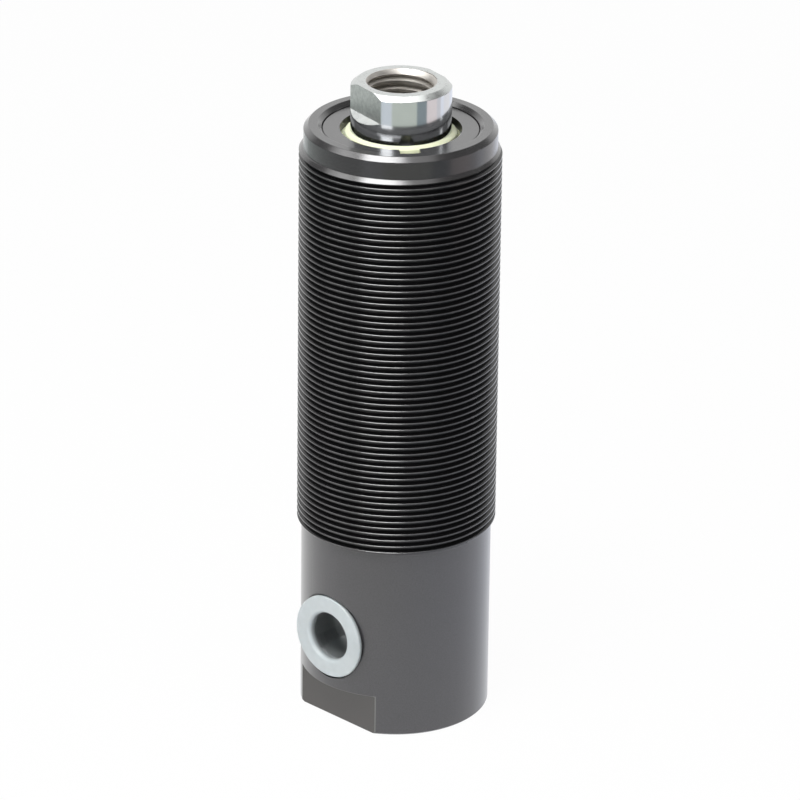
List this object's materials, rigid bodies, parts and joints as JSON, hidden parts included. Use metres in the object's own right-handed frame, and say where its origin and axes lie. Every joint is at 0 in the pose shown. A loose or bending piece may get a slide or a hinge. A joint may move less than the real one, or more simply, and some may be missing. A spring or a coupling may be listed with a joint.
{
  "type": "threaded body hydraulic cylinder",
  "caption": "Single-acting hydraulic cylinder with a fine-threaded round body, side port at the base, and a spring-returned rod with an internal thread.",
  "frame": {"origin": "centre of the flat base face, on the cylinder's axis", "axes": "+Z along the axis, from the base towards the rod end; the pressure port faces -Y"},
  "size_m": [0.045, 0.045, 0.15],
  "materials": {
    "black_oxide_steel": "black oxide, satin",
    "hard_chrome": "hard chromed and ground",
    "machined_steel": "turned",
    "spring_steel": "drawn wire, lightly oiled",
    "cream_polyurethane": "moulded, matt",
    "nitrile_rubber": "moulded rubber",
    "filled_ptfe": "bronze-filled PTFE",
    "phenolic_guide_ring": "fabric-filled phenolic",
    "white_polyamide": "moulded",
    "translucent_polyethylene": "natural, milky, satin"
  },
  "bodies": {
    "barrel": {"threaded_body": "black_oxide_steel", "gland_nut": "black_oxide_steel", "gland_o_ring": "nitrile_rubber", "gland_lock_pellet": "white_polyamide", "rod_guide_ring_lower": "phenolic_guide_ring", "rod_guide_ring_upper": "phenolic_guide_ring", "rod_wiper": "cream_polyurethane", "upper_spring_washer": "machined_steel", "return_spring": "spring_steel"},
    "spring_seat": {"lower_spring_washer": "machined_steel", "stop_sleeve": "machined_steel"},
    "rod": {"piston_rod": "hard_chrome", "piston": "machined_steel", "piston_rod_o_ring": "nitrile_rubber", "piston_rod_backup_ring": "filled_ptfe", "piston_seal_ring": "filled_ptfe", "piston_seal_energizer": "nitrile_rubber", "piston_guide_ring": "phenolic_guide_ring", "piston_lock_nut": "machined_steel"},
    "port_plug": {"port_plug": "translucent_polyethylene"}
  },
  "joints": [
    {"name": "rod_stroke", "type": "slide", "parent": "barrel", "child": "spring_seat", "axis": [0, 0, 1], "range_m": [0, 0.025], "stiffness_N_per_m": 6690, "springref_m": -0.012, "deforming": ["return_spring"]},
    {"name": "rod_turn", "type": "hinge", "parent": "spring_seat", "child": "rod", "pos_m": [0, 0, 0.1], "axis": [0, 0, 1], "continuous": true},
    {"name": "port_plug_pull", "type": "slide", "parent": "barrel", "child": "port_plug", "axis": [0, -1, 0], "range_m": [0, 0.015]}
  ]
}
